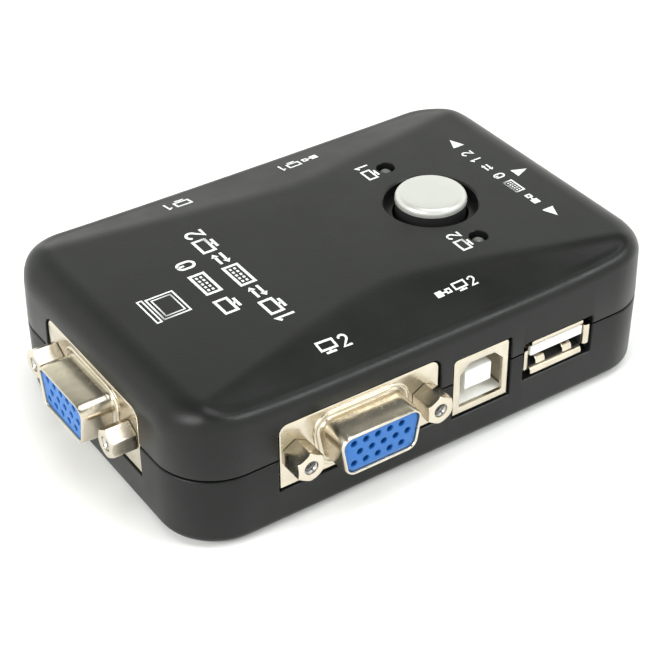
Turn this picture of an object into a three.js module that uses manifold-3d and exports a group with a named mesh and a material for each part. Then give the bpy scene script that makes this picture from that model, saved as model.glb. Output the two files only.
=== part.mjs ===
// Two-computer desktop switch: one monitor, keyboard and mouse shared by two computers.
// A split plastic case holds a circuit board with sockets round its edge and a sprung push button.
// Millimetres, +Z up. Everything is laid out about the middle of the case, with z = 0 on the
// parting line, and the whole group is moved at the end so that the feet stand on z = 0.
// +X runs from the monitor socket towards the keyboard and mouse socket; computer 2 is on -Y.
import * as THREE from 'three';
import { mergeVertices } from 'three/addons/utils/BufferGeometryUtils.js';
import Module from 'manifold-3d';

const wasm = await Module();
wasm.setup();

// ---------- driving dimensions ----------

const gap = 0.3; // clearance between neighbouring pieces
const fit = 0.2; // clearance of a moulding inside its metal shell

const shell = {
  length: 95.6,
  width: 63.0,
  radius: 10.5,
  wall: 2.0,
  top: 12.9, // plateau above the parting line
  bottom: 13.2, // underside below the parting line
  draft: 0.15,
  seam: 0.3,
};

// The top is a flat plateau with a waist. Outside the waist it falls away in two sloping shoulders.
const plateau = { waist: 17.1, waistX: 1.7, spread: 0.25, bend: 5.7, length: 84.0, corner: 4.0 };
const shoulder = { drop: 2.0, steepest: 0.9, shortest: 0.3, thickness: 2.2 };
const topEdge = { endRadius: 5.0, sideRadius: 1.6, steps: 4 };
const bottomEdge = { radius: 1.5, steps: 3 };
const outline = { cornerSteps: 6, longSteps: 12, shortSteps: 3 };

const board = { top: -7.4, thickness: 1.6, radius: 7.5 };
const lip = { thickness: 0.7, height: 1.4, depth: 3.0 };
const boss = { x: 39.0, y: 23.0, radius: 3.0, bore: 1.6, boreTop: 4.0 };
const post = { radius: 4.2, counterbore: 2.9, seat: -10.8, hole: 1.7 };
const screw = { headRadius: 2.5, headBottom: -12.8, shank: 1.3, tip: 2.0, slot: 0.55, slotDepth: 0.9 };
const foot = { x: 27.0, y: 25.0, radius: 4.5, soft: 0.4, stands: 0.8, recess: 0.6 };

const button = {
  x: 20.7,
  radius: 6.4,
  top: 14.8,
  edge: 1.0,
  flange: 8.3,
  flangeTop: 8.1,
  flangeBottom: 6.9,
  roof: 11.5,
  stem: 2.4,
  stemBore: 1.9,
  stemBottom: 2.6,
  socketTop: 5.3,
};
const dish = {
  radius: 8.4,
  hole: 6.8,
  floor: 10.6,
  underside: 8.4,
  collar: 10.2,
  collarBottom: 6.0,
  guide: 8.8,
};
const tact = { half: 4.25, top: 1.0, wellRadius: 1.9, wellBottom: -3.8, plunger: 1.6, low: -2.0, high: 5.0 };
const spring = { wire: 0.32, radius: 3.4, low: 1.7, high: 11.1, turns: 5, steps: 10, sides: 5 };
const lamp = {
  x: button.x,
  y: 13.7,
  hole: 1.7,
  lens: 1.45,
  rim: 1.9,
  rimBottom: 8.3,
  rimTop: 9.3,
  top: 12.1,
  leg: 0.5,
  legSpacing: 1.5,
};
const riser = { outer: 2.4, bore: 1.5 };

// Fifteen-way D socket, with its standard flange, screw spacing and metal shell.
const vga = {
  z: 0.1,
  flange: [30.8, 12.5],
  flangeRadius: 1.6,
  plate: 0.9,
  reach: 6.0,
  dee: [16.4, 8.1],
  deeRadius: 2.3,
  deeSlope: Math.tan(THREE.MathUtils.degToRad(10)),
  skin: 0.45,
  face: 5.6,
  hole: 0.55,
  holeDepth: 4.0,
  pitch: 2.29,
  row: 1.98,
  screwSpacing: 24.99,
  housing: [30.2, 12.4, 11.0],
};
const jack = {
  flats: 4.75,
  reach: 4.6,
  bevel: 0.35,
  seat: -0.1,
  bore: 1.2,
  boreDepth: 4.0,
  shank: 1.35,
  shankLength: 5.0,
  hole: 1.65,
};

// Square type B socket and flat type A socket, with their standard openings and tongues.
const typeB = {
  z: -1.4,
  face: [11.6, 11.5],
  skin: 0.4,
  depth: 16.0,
  opening: [8.45, 7.78],
  bevel: 1.7,
  tongue: [5.6, 3.8],
  cavity: 9.0,
  tongueBack: 0.9,
};
const typeA = {
  z: -1.95,
  face: [13.2, 5.74],
  flare: 0.6,
  lip: 0.4,
  lipInset: 1.0,
  skin: 0.35,
  depth: 13.6,
  tongue: [11.3, 1.9],
  tongueRise: 1.2,
  tongueBack: 0.4,
  cavity: 9.2,
  heel: 1.5,
};

// Parts on the board.
const chipCase = { lift: 0.2, height: 1.9, pin: 0.4, pinHeight: 0.7, pinReach: 1.0, pinRoot: 0.3 };
const can = { radius: 2.5, groove: 0.3, height: 7.0, bead: 0.9, beadHeight: 0.3 };
const quartz = { base: [11.0, 4.8], baseHeight: 0.6, can: [10.2, 4.0], canHeight: 3.4, round: 0.1 };

const portRecess = 0.3; // how far each port's face sits inside the case wall
const sidePorts = { vga: -15.9, typeB: 8.5, typeA: 24.85 };

// ---------- colours ----------

const paint = (color, roughness, metalness) =>
  new THREE.MeshStandardMaterial({ color, roughness, metalness });

const finish = {
  caseBlack: paint(0x24272a, 0.55, 0),
  silver: paint(0xdcdcd4, 0.35, 0.3),
  nickel: paint(0xcfc8b8, 0.25, 1),
  blue: paint(0x2a62c8, 0.45, 0),
  white: paint(0xf0efe8, 0.5, 0),
  black: paint(0x16171a, 0.6, 0),
  boardGreen: paint(0x1e5a34, 0.5, 0),
  rubber: paint(0x1b1b1c, 0.9, 0),
  steel: paint(0x9a9c9e, 0.35, 1),
  lens: paint(0xb9c2bd, 0.15, 0),
};

// ---------- solids ----------

function solid(geometry) {
  const bare = geometry.index ? geometry.clone() : geometry;
  bare.deleteAttribute('normal');
  bare.deleteAttribute('uv');
  const merged = mergeVertices(bare, 1e-4);
  return new wasm.Manifold(
    new wasm.Mesh({
      numProp: 3,
      vertProperties: new Float32Array(merged.attributes.position.array),
      triVerts: new Uint32Array(merged.index.array),
    })
  );
}

function geometryOf(body) {
  const mesh = body.getMesh();
  const geometry = new THREE.BufferGeometry();
  geometry.setAttribute('position', new THREE.BufferAttribute(new Float32Array(mesh.vertProperties), 3));
  geometry.setIndex(new THREE.BufferAttribute(new Uint32Array(mesh.triVerts), 1));
  return geometry;
}

const joined = (...bodies) => bodies.reduce((whole, next) => whole.add(next));
const without = (whole, ...cuts) => cuts.reduce((rest, cut) => rest.subtract(cut), whole);

function block([x0, x1], [y0, y1], [z0, z1]) {
  const geometry = new THREE.BoxGeometry(x1 - x0, y1 - y0, z1 - z0);
  return solid(geometry.translate((x0 + x1) / 2, (y0 + y1) / 2, (z0 + z1) / 2));
}

// A shape drawn in X and Y, standing between two heights.
function upright(shape, low, high, curveSegments = 8) {
  const settings = { depth: high - low, bevelEnabled: false, curveSegments };
  return solid(new THREE.ExtrudeGeometry(shape, settings).translate(0, 0, low));
}

// A shape drawn as seen from the front of a port, running back from y = front to y = back.
function inward(shape, front, back, curveSegments = 3) {
  const settings = { depth: back - front, bevelEnabled: false, curveSegments };
  const geometry = new THREE.ExtrudeGeometry(shape, settings);
  return solid(geometry.rotateX(Math.PI / 2).translate(0, back, 0));
}

function postAt(x, y, radius, low, high, sides = 14) {
  const geometry = new THREE.CylinderGeometry(radius, radius, high - low, sides);
  return solid(geometry.rotateX(Math.PI / 2).translate(x, y, (low + high) / 2));
}

// A round bar along the port's own Y axis.
function barAt(x, z, radius, front, back, sides = 10) {
  const geometry = new THREE.CylinderGeometry(radius, radius, back - front, sides);
  return solid(geometry.translate(x, (front + back) / 2, z));
}

function turned(points, sides) {
  const profile = points.map(([r, z]) => new THREE.Vector2(r, z));
  return solid(new THREE.LatheGeometry(profile, sides).rotateX(Math.PI / 2));
}

// A rectangle about the origin, with one radius for its upper corners and one for its lower ones.
function plate(width, height, upper, lower = upper) {
  const x = width / 2;
  const y = height / 2;
  const shape = new THREE.Shape();
  shape.moveTo(-x + lower, -y);
  shape.lineTo(x - lower, -y);
  if (lower > 0) shape.absarc(x - lower, -y + lower, lower, -Math.PI / 2, 0);
  shape.lineTo(x, y - upper);
  if (upper > 0) shape.absarc(x - upper, y - upper, upper, 0, Math.PI / 2);
  shape.lineTo(-x + upper, y);
  if (upper > 0) shape.absarc(-x + upper, y - upper, upper, Math.PI / 2, Math.PI);
  shape.lineTo(-x, -y + lower);
  if (lower > 0) shape.absarc(-x + lower, -y + lower, lower, Math.PI, 1.5 * Math.PI);
  return shape;
}

function eachCorner(x, y, make) {
  return [[-x, -y], [x, -y], [x, y], [-x, y]].map(([cx, cy], index) => make(cx, cy, index + 1));
}

// ---------- the case's outside ----------

// Stations round the plan outline, each with the centre of its arc and its outward direction.
function outlineStations() {
  const reachX = shell.length / 2 - shell.radius;
  const reachY = shell.width / 2 - shell.radius;
  const centres = [[reachX, reachY], [-reachX, reachY], [-reachX, -reachY], [reachX, -reachY]];
  const stations = [];
  centres.forEach(([cx, cy], corner) => {
    for (let step = 0; step <= outline.cornerSteps; step += 1) {
      const angle = (corner + step / outline.cornerSteps) * (Math.PI / 2);
      stations.push({ cx, cy, nx: Math.cos(angle), ny: Math.sin(angle) });
    }
    const [nextX, nextY] = centres[(corner + 1) % centres.length];
    const steps = corner % 2 === 0 ? outline.longSteps : outline.shortSteps;
    const { nx, ny } = stations[stations.length - 1];
    for (let step = 1; step < steps; step += 1) {
      const along = step / steps;
      stations.push({ cx: cx + (nextX - cx) * along, cy: cy + (nextY - cy) * along, nx, ny });
    }
  });
  return stations;
}

const stations = outlineStations();

function stationPoint(station, inset, z) {
  const out = shell.radius - inset;
  return [station.cx + station.nx * out, station.cy + station.ny * out, z];
}

const ring = (inset, z) => stations.map((station) => stationPoint(station, inset, z));

// A closed skin through rings of equal length, with flat ends. Collapsed triangles are left out.
function lofted(rings) {
  const count = rings[0].length;
  const corners = [];
  const place = (level, index) => rings[level][index % count];
  const same = (a, b) => a.every((value, axis) => Math.abs(value - b[axis]) < 1e-6);
  const triangle = (a, b, c) => {
    if (!same(a, b) && !same(b, c) && !same(c, a)) corners.push(...a, ...b, ...c);
  };
  for (let level = 0; level + 1 < rings.length; level += 1) {
    for (let index = 0; index < count; index += 1) {
      triangle(place(level, index), place(level, index + 1), place(level + 1, index + 1));
      triangle(place(level, index), place(level + 1, index + 1), place(level + 1, index));
    }
  }
  const flat = (points) => points.map(([x, y]) => new THREE.Vector2(x, y));
  const [low, high] = [rings[0], rings[rings.length - 1]];
  const cap = (points) => THREE.ShapeUtils.triangulateShape(flat(points), []);
  cap(low).forEach(([a, b, c]) => triangle(low[c], low[b], low[a]));
  cap(high).forEach(([a, b, c]) => triangle(high[a], high[b], high[c]));
  const geometry = new THREE.BufferGeometry();
  geometry.setAttribute('position', new THREE.Float32BufferAttribute(corners, 3));
  return solid(geometry);
}

// Half the plateau's width at a place along the case: narrowest at the waist, wide at both ends.
function plateauHalf(x) {
  const away = x - plateau.waistX;
  return plateau.waist + plateau.spread * (Math.hypot(away, plateau.bend) - plateau.bend);
}

// How far the shoulder has fallen where it meets the top edge at this station.
function shoulderDrop(station) {
  const [x, y] = stationPoint(station, topEdge.sideRadius, 0);
  const width = Math.abs(y) - plateauHalf(x);
  return width < shoulder.shortest ? 0 : Math.min(shoulder.drop, shoulder.steepest * width);
}

// A point on the rounded top edge, at an angle from the wall (0) to the top face (a right angle).
function topEdgePoint(station, angle) {
  const drop = shoulderDrop(station);
  const radius = THREE.MathUtils.lerp(topEdge.endRadius, topEdge.sideRadius, drop / shoulder.drop);
  const inset = shell.draft + radius * (1 - Math.cos(angle));
  return stationPoint(station, inset, shell.top - drop - radius * (1 - Math.sin(angle)));
}

// Where the shoulder meets the plateau, straight in from this station.
function plateauPoint(station) {
  const [x, y, z] = topEdgePoint(station, Math.PI / 2);
  return shoulderDrop(station) === 0 ? [x, y, z] : [x, Math.sign(y) * plateauHalf(x), shell.top];
}

function topOutside() {
  const rings = [ring(0, shell.seam / 2)];
  for (let step = 0; step <= topEdge.steps; step += 1) {
    const angle = (step / topEdge.steps) * (Math.PI / 2);
    rings.push(stations.map((station) => topEdgePoint(station, angle)));
  }
  rings.push(stations.map(plateauPoint));
  return lofted(rings);
}

function bottomOutside() {
  const rings = [];
  for (let step = 0; step <= bottomEdge.steps; step += 1) {
    const angle = (step / bottomEdge.steps) * (Math.PI / 2);
    const inset = shell.draft + bottomEdge.radius * (1 - Math.sin(angle));
    rings.push(ring(inset, -shell.bottom + bottomEdge.radius * (1 - Math.cos(angle))));
  }
  rings.push(ring(0, -shell.seam / 2));
  return lofted(rings);
}

// The plan outline drawn in by an inset, between two heights.
function caseCore(inset, low, high) {
  const shape = plate(shell.length - 2 * inset, shell.width - 2 * inset, shell.radius - inset);
  return upright(shape, low, high, 4);
}

// ---------- ports and where they go ----------

function portFrame(x, y, z, quarterTurns) {
  const frame = new THREE.Group();
  frame.position.set(x, y, z);
  frame.rotation.z = quarterTurns * (Math.PI / 2);
  frame.updateMatrix();
  return frame;
}

const endFace = shell.length / 2 - portRecess;
const sideFace = shell.width / 2 - portRecess;
const ports = [
  { kind: 'vga', name: 'monitor_vga', frame: portFrame(-endFace, 0, vga.z, -1) },
  { kind: 'typeA', name: 'console_usb_a', frame: portFrame(endFace, 0, typeA.z, 1) },
];
for (const [computer, side, turns] of [[1, 1, 2], [2, -1, 0]]) {
  ports.push({
    kind: 'vga',
    name: `computer_${computer}_vga`,
    frame: portFrame(sidePorts.vga, side * sideFace, vga.z, turns),
  });
  ports.push({
    kind: 'typeB',
    name: `computer_${computer}_usb_b`,
    frame: portFrame(sidePorts.typeB, side * sideFace, typeB.z, turns),
  });
  ports.push({
    kind: 'typeA',
    name: `computer_${computer}_usb_a`,
    frame: portFrame(sidePorts.typeA, side * sideFace, typeA.z, turns),
  });
}

const openings = {
  vga: plate(vga.flange[0] + 2 * gap, vga.flange[1] + 2 * gap, vga.flangeRadius + gap, 0),
  typeB: plate(typeB.face[0] + 2 * gap, typeB.face[1] + 2 * gap, 0.5, 0),
  typeA: plate(...typeA.face.map((size) => size + 2 * (typeA.flare + gap) + 0.1), 0.5),
};

// Every port's opening, cut right through the wall and the lip behind it.
function portOpenings() {
  const outside = -3;
  const inside = shell.wall + lip.thickness + 2 * gap;
  const cuts = ports.map(({ kind, frame }) =>
    inward(openings[kind], outside, inside).transform(Array.from(frame.matrix.elements))
  );
  return joined(...cuts);
}

// ---------- case parts ----------

function topCover() {
  const sideCeiling = shell.top - shoulder.drop - shoulder.thickness;
  const ceiling = shell.top - shell.wall;
  const cavity = caseCore(shell.wall, -1, sideCeiling);
  const raisedPlan = plate(plateau.length, 2 * plateau.waist - 1, plateau.corner);
  const raised = upright(raisedPlan, sideCeiling - 1, ceiling);
  const columns = eachCorner(boss.x, boss.y, (x, y) =>
    postAt(x, y, boss.radius, board.top + gap, sideCeiling + 0.5)
  );
  const bores = eachCorner(boss.x, boss.y, (x, y) => postAt(x, y, boss.bore, board.top - 1, boss.boreTop));
  const collar = postAt(button.x, 0, dish.collar, dish.collarBottom, ceiling + 0.5, 28);
  const hollow = joined(
    postAt(button.x, 0, dish.guide, dish.collarBottom - 1, dish.underside, 28),
    postAt(button.x, 0, dish.hole, dish.underside - 1, shell.top, 36),
    postAt(button.x, 0, dish.radius, dish.floor, shell.top + 1, 36)
  );
  const lampHoles = [-1, 1].map((side) => postAt(lamp.x, side * lamp.y, lamp.hole, 5, shell.top + 1, 14));
  const body = joined(without(topOutside(), cavity, raised), ...columns, collar);
  return without(body, hollow, ...lampHoles, ...bores, portOpenings());
}

function bottomCover() {
  const floor = -shell.bottom + shell.wall;
  const seamFace = -shell.seam / 2;
  const lipOuter = shell.wall + gap;
  const lipInner = lipOuter + lip.thickness;
  const cavity = caseCore(shell.wall, floor, 1);
  const lipRoot = without(caseCore(shell.wall - 0.2, -lip.depth, seamFace - gap), caseCore(lipInner, -9, 1));
  const lipWall = without(caseCore(lipOuter, -lip.depth, lip.height), caseCore(lipInner, -9, 9));
  const posts = eachCorner(boss.x, boss.y, (x, y) =>
    postAt(x, y, post.radius, floor - 0.5, board.top - board.thickness - gap)
  );
  const holes = eachCorner(boss.x, boss.y, (x, y) =>
    joined(
      postAt(x, y, post.counterbore, -shell.bottom - 1, post.seat),
      postAt(x, y, post.hole, post.seat - 1, board.top)
    )
  );
  const recesses = eachCorner(foot.x, foot.y, (x, y) =>
    postAt(x, y, foot.radius + gap, -shell.bottom - 1, -shell.bottom + foot.recess, 16)
  );
  const body = joined(without(bottomOutside(), cavity), lipRoot, lipWall, ...posts);
  return without(body, ...holes, ...recesses, portOpenings());
}

function circuitBoard() {
  const inset = shell.wall + gap;
  const outlineShape = plate(shell.length - 2 * inset, shell.width - 2 * inset, board.radius);
  const slab = upright(outlineShape, board.top - board.thickness, board.top, 4);
  const clearance = post.hole + gap;
  const [under, over] = [board.top - board.thickness - 1, board.top + 1];
  const holes = eachCorner(boss.x, boss.y, (x, y) => postAt(x, y, clearance, under, over, 12));
  return without(slab, ...holes);
}

// Pan-head self-tapping screw, driven up from the underside, with a cross recess.
function caseScrew() {
  const seat = post.seat - gap;
  const profile = [
    [0, screw.headBottom],
    [screw.headRadius - 0.6, screw.headBottom],
    [screw.headRadius, screw.headBottom + 0.6],
    [screw.headRadius, seat],
    [screw.shank, seat],
    [screw.shank, screw.tip - 1],
    [0, screw.tip],
  ];
  const reach = screw.headRadius * 0.6;
  const half = screw.slot / 2;
  const depth = [screw.headBottom - 1, screw.headBottom + screw.slotDepth];
  return without(
    turned(profile, 12),
    block([-reach, reach], [-half, half], depth),
    block([-half, half], [-reach, reach], depth)
  );
}

function rubberFoot() {
  const low = -shell.bottom - foot.stands;
  const high = -shell.bottom + foot.recess - 0.1;
  const { radius, soft } = foot;
  return turned([[0, low], [radius - soft, low], [radius, low + soft], [radius, high], [0, high]], 16);
}

// ---------- push button ----------

function buttonCap() {
  const { radius, top, edge, flange, flangeTop, flangeBottom, roof, stem, stemBore } = button;
  const skirt = radius - 1.4;
  const profile = [[0, top]];
  for (let step = 0; step <= 3; step += 1) {
    const angle = (step / 3) * (Math.PI / 2);
    profile.push([radius - edge + edge * Math.sin(angle), top - edge + edge * Math.cos(angle)]);
  }
  profile.push([radius, flangeTop], [flange, flangeTop], [flange, flangeBottom], [skirt, flangeBottom]);
  profile.push([skirt, roof], [stem, roof], [stem, button.stemBottom], [stemBore, button.stemBottom]);
  profile.push([stemBore, button.socketTop], [0, button.socketTop]);
  return turned(profile.reverse(), 36);
}

function switchPlunger() {
  return turned([[0, tact.low], [tact.plunger, tact.low], [tact.plunger, tact.high], [0, tact.high]], 12);
}

function switchBody() {
  const body = block([-tact.half, tact.half], [-tact.half, tact.half], [board.top + fit, tact.top]);
  return without(body, postAt(0, 0, tact.wellRadius, tact.wellBottom, tact.top + 1, 12));
}

class Helix extends THREE.Curve {
  getPoint(t, target = new THREE.Vector3()) {
    const angle = t * spring.turns * 2 * Math.PI;
    const z = THREE.MathUtils.lerp(spring.low, spring.high, t);
    return target.set(spring.radius * Math.cos(angle), spring.radius * Math.sin(angle), z);
  }
}

function returnSpring() {
  const section = new THREE.Shape();
  for (let side = 0; side < spring.sides; side += 1) {
    const angle = (side / spring.sides) * 2 * Math.PI;
    const [x, y] = [spring.wire * Math.cos(angle), spring.wire * Math.sin(angle)];
    if (side === 0) section.moveTo(x, y);
    else section.lineTo(x, y);
  }
  const steps = spring.turns * spring.steps;
  return solid(new THREE.ExtrudeGeometry(section, { steps, extrudePath: new Helix(), bevelEnabled: false }));
}

// ---------- indicator lamps ----------

// A small clear lamp on two long legs, standing just under the surface of the top.
function lampBody() {
  const { lens, rim, rimBottom, rimTop, top } = lamp;
  const shoulderZ = top - lens;
  const profile = [[0, rimBottom], [rim, rimBottom], [rim, rimTop], [lens, rimTop]];
  for (let step = 0; step <= 4; step += 1) {
    const angle = (step / 4) * (Math.PI / 2);
    profile.push([step === 4 ? 0 : lens * Math.cos(angle), shoulderZ + lens * Math.sin(angle)]);
  }
  const half = lamp.leg / 2;
  const legs = [-lamp.legSpacing / 2, lamp.legSpacing / 2].map((x) =>
    block([x - half, x + half], [-half, half], [board.top + fit, (rimBottom + rimTop) / 2])
  );
  return joined(turned(profile, 12), ...legs);
}

function lampRiser() {
  const low = board.top + fit;
  const high = lamp.rimBottom - fit;
  return without(postAt(0, 0, riser.outer, low, high, 12), postAt(0, 0, riser.bore, low - 1, high + 1, 8));
}

// ---------- fifteen-way D socket ----------

// The D outline, wide side up, with rounded corners.
function dee(shrink) {
  const height = vga.dee[1] - 2 * shrink;
  const topHalf = vga.dee[0] / 2 - shrink;
  const bottomHalf = topHalf - height * vga.deeSlope;
  const corners = [
    [topHalf, height / 2],
    [-topHalf, height / 2],
    [-bottomHalf, -height / 2],
    [bottomHalf, -height / 2],
  ].map(([x, y]) => new THREE.Vector2(x, y));
  const radius = vga.deeRadius - shrink;
  const shape = new THREE.Shape();
  corners.forEach((corner, index) => {
    const before = corners[(index + 3) % 4].clone().sub(corner).setLength(radius).add(corner);
    const after = corners[(index + 1) % 4].clone().sub(corner).setLength(radius).add(corner);
    if (index === 0) shape.moveTo(before.x, before.y);
    else shape.lineTo(before.x, before.y);
    shape.quadraticCurveTo(corner.x, corner.y, after.x, after.y);
  });
  return shape;
}

const screwPlaces = [-vga.screwSpacing / 2, vga.screwSpacing / 2];

function vgaShell() {
  const flange = inward(plate(...vga.flange, vga.flangeRadius, 0), 0, vga.plate);
  const tube = inward(dee(0), -vga.reach, vga.plate / 2);
  const inside = inward(dee(vga.skin), -vga.reach - 1, vga.plate + 1);
  const holes = screwPlaces.map((x) => barAt(x, 0, jack.hole, -1, vga.plate + 1, 12));
  return without(joined(flange, tube), inside, ...holes);
}

// Fifteen contact holes in three rows, the middle row set half a pitch across.
function contactPlaces() {
  const places = [];
  for (const row of [-1, 0, 1]) {
    const across = row === 0 ? vga.pitch / 4 : -vga.pitch / 4;
    for (const column of [-2, -1, 0, 1, 2]) places.push([column * vga.pitch + across, row * vga.row]);
  }
  return places;
}

function vgaInsulator() {
  const [width, height, depth] = vga.housing;
  const back = vga.plate + fit;
  const low = board.top + fit - vga.z;
  const insert = inward(dee(vga.skin + fit), -vga.face, back + 1);
  const behindWall = shell.wall + lip.thickness + 3 * gap;
  const upper = block([-width / 2, width / 2], [back, back + depth], [-vga.flange[1] / 2, low + height]);
  const lower = block([-width / 2, width / 2], [behindWall, back + depth], [low, 0]);
  const housing = joined(upper, lower);
  const holes = contactPlaces().map(([x, z]) =>
    barAt(x, z, vga.hole, -vga.face - 1, -vga.face + vga.holeDepth, 6)
  );
  const screwHoles = screwPlaces.map((x) => barAt(x, 0, jack.hole, back - 1, back + jack.shankLength, 8));
  return without(joined(insert, housing), ...holes, ...screwHoles);
}

// Hexagonal jackscrew with a threaded mouth for the plug's screw.
function jackScrew() {
  const front = -jack.reach;
  const { seat, bevel } = jack;
  const across = jack.flats / 2 / Math.cos(Math.PI / 6);
  const head = new THREE.CylinderGeometry(across, across, seat - front - bevel, 6);
  const nose = new THREE.CylinderGeometry(across, across - bevel, bevel, 6);
  return without(
    joined(
      solid(head.translate(0, (seat + front + bevel) / 2, 0)),
      solid(nose.translate(0, front + bevel / 2, 0)),
      barAt(0, 0, jack.shank, seat - 1, seat + jack.shankLength)
    ),
    barAt(0, 0, jack.bore, front - 1, front + jack.boreDepth)
  );
}

// ---------- type B socket ----------

// The plug's outline: a square with its two upper corners bevelled.
function typeBOutline(grow) {
  const x = typeB.opening[0] / 2 + grow;
  const y = typeB.opening[1] / 2 + grow;
  const bevel = typeB.bevel;
  const points = [[-x, -y], [x, -y], [x, y - bevel], [x - bevel, y], [-x + bevel, y], [-x, y - bevel]];
  return new THREE.Shape(points.map(([px, py]) => new THREE.Vector2(px, py)));
}

function typeBShell() {
  const [width, height] = typeB.face;
  const outer = inward(plate(width, height, 0.4), 0, typeB.depth);
  const inner = plate(width - 2 * typeB.skin, height - 2 * typeB.skin, 0);
  return without(outer, inward(inner, typeB.skin, typeB.depth + 1), inward(typeBOutline(0), -1, 1));
}

function typeBInsulator() {
  const front = typeB.skin + fit;
  const side = 2 * (typeB.skin + fit);
  const filling = inward(plate(typeB.face[0] - side, typeB.face[1] - side, 0), front, typeB.depth - fit);
  const socket = inward(typeBOutline(0.05), front - 1, typeB.cavity);
  const tongue = inward(plate(...typeB.tongue, 0.3), typeB.tongueBack, typeB.cavity + 1);
  return joined(without(filling, socket), tongue);
}

// ---------- type A socket ----------

// A folded tube whose mouth flares in four lips, one along each side.
function typeAShell() {
  const [width, height] = typeA.face;
  const { skin, flare, lip: lipDepth, lipInset, depth } = typeA;
  const outer = inward(plate(width, height, 0.5), 0, depth);
  const longLips = inward(plate(width - 2 * lipInset, height + 2 * flare, 0), 0, lipDepth);
  const shortLips = inward(plate(width + 2 * flare, height - 2 * lipInset, 0), 0, lipDepth);
  const inner = plate(width - 2 * skin, height - 2 * skin, 0.2);
  return without(joined(outer, longLips, shortLips), inward(inner, -1, depth + 1));
}

// The tongue hangs near the top of the opening, and the block behind it stands on the board.
function typeAInsulator() {
  const clear = typeA.skin + fit;
  const [width, height] = typeA.face;
  const back = typeA.depth + typeA.heel;
  const plug = inward(plate(width - 2 * clear, height - 2 * clear, 0), typeA.cavity, back);
  const [tongueWidth, tongueHeight] = typeA.tongue;
  const tongue = block(
    [-tongueWidth / 2, tongueWidth / 2],
    [typeA.tongueBack, typeA.cavity + 1],
    [typeA.tongueRise - tongueHeight / 2, typeA.tongueRise + tongueHeight / 2]
  );
  const base = board.top + fit - typeA.z;
  const heel = block([-width / 2, width / 2], [typeA.depth + fit, back], [base, height / 2]);
  const soleBack = (typeA.depth + back) / 2;
  const sole = block([-width / 2, width / 2], [shell.wall + gap, soleBack], [base, -height / 2 - gap]);
  return joined(plug, tongue, heel, sole);
}

// ---------- parts on the board ----------

// A chip with gull-wing legs along its two long sides.
function chip(length, width, legs) {
  const low = board.top + fit;
  const { lift, height, pin, pinHeight, pinReach, pinRoot } = chipCase;
  const body = block([-length / 2, length / 2], [-width / 2, width / 2], [low + lift, low + height]);
  const pitch = length / legs;
  const pins = [];
  for (let leg = 0; leg < legs; leg += 1) {
    const x = (leg - (legs - 1) / 2) * pitch;
    for (const side of [-1, 1]) {
      const ends = [side * (width / 2 - pinRoot), side * (width / 2 + pinReach)];
      const [nearEnd, farEnd] = [Math.min(...ends), Math.max(...ends)];
      pins.push(block([x - pin / 2, x + pin / 2], [nearEnd, farEnd], [low, low + pinHeight]));
    }
  }
  return joined(body, ...pins);
}

function capacitor() {
  const low = board.top + fit;
  const { radius, height, bead, beadHeight } = can;
  const groove = radius - can.groove;
  const profile = [
    [0, low],
    [radius, low],
    [radius, low + bead],
    [groove, low + bead + beadHeight],
    [radius, low + bead + 2 * beadHeight],
    [radius, low + height - beadHeight],
    [groove, low + height],
    [0, low + height],
  ];
  return turned(profile, 12);
}

function crystal() {
  const low = board.top + fit;
  const rounded = ([length, width]) => plate(length, width, width / 2 - quartz.round);
  return joined(
    upright(rounded(quartz.base), low, low + quartz.baseHeight, 3),
    upright(rounded(quartz.can), low, low + quartz.canHeight, 3)
  );
}

// ---------- assembly ----------

const kvmSwitch = new THREE.Group();

function addPart(name, body, material, parent = kvmSwitch, x = 0, y = 0) {
  const mesh = new THREE.Mesh(geometryOf(body), material);
  mesh.name = name;
  mesh.position.set(x, y, 0);
  parent.add(mesh);
}

addPart('top_cover', topCover(), finish.caseBlack);
addPart('bottom_cover', bottomCover(), finish.caseBlack);
addPart('circuit_board', circuitBoard(), finish.boardGreen);
eachCorner(boss.x, boss.y, (x, y, corner) => {
  addPart(`case_screw_${corner}`, caseScrew(), finish.steel, kvmSwitch, x, y);
});
eachCorner(foot.x, foot.y, (x, y, corner) => {
  addPart(`rubber_foot_${corner}`, rubberFoot(), finish.rubber, kvmSwitch, x, y);
});

addPart('button_cap', buttonCap(), finish.silver, kvmSwitch, button.x);
addPart('switch_plunger', switchPlunger(), finish.white, kvmSwitch, button.x);
addPart('switch_body', switchBody(), finish.black, kvmSwitch, button.x);
addPart('return_spring', returnSpring(), finish.steel, kvmSwitch, button.x);

for (const [computer, side] of [[1, 1], [2, -1]]) {
  addPart(`indicator_lamp_${computer}`, lampBody(), finish.lens, kvmSwitch, lamp.x, side * lamp.y);
  addPart(`lamp_riser_${computer}`, lampRiser(), finish.black, kvmSwitch, lamp.x, side * lamp.y);
}

const makers = {
  vga(name, frame) {
    addPart(`${name}_shell`, vgaShell(), finish.nickel, frame);
    addPart(`${name}_insulator`, vgaInsulator(), finish.blue, frame);
    addPart(`${name}_jackscrew_left`, jackScrew(), finish.nickel, frame, screwPlaces[0]);
    addPart(`${name}_jackscrew_right`, jackScrew(), finish.nickel, frame, screwPlaces[1]);
  },
  typeB(name, frame) {
    addPart(`${name}_shell`, typeBShell(), finish.nickel, frame);
    addPart(`${name}_insulator`, typeBInsulator(), finish.white, frame);
  },
  typeA(name, frame) {
    addPart(`${name}_shell`, typeAShell(), finish.nickel, frame);
    addPart(`${name}_insulator`, typeAInsulator(), finish.white, frame);
  },
};

for (const { kind, name, frame } of ports) {
  makers[kind](name, frame);
  kvmSwitch.add(frame);
}

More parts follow.
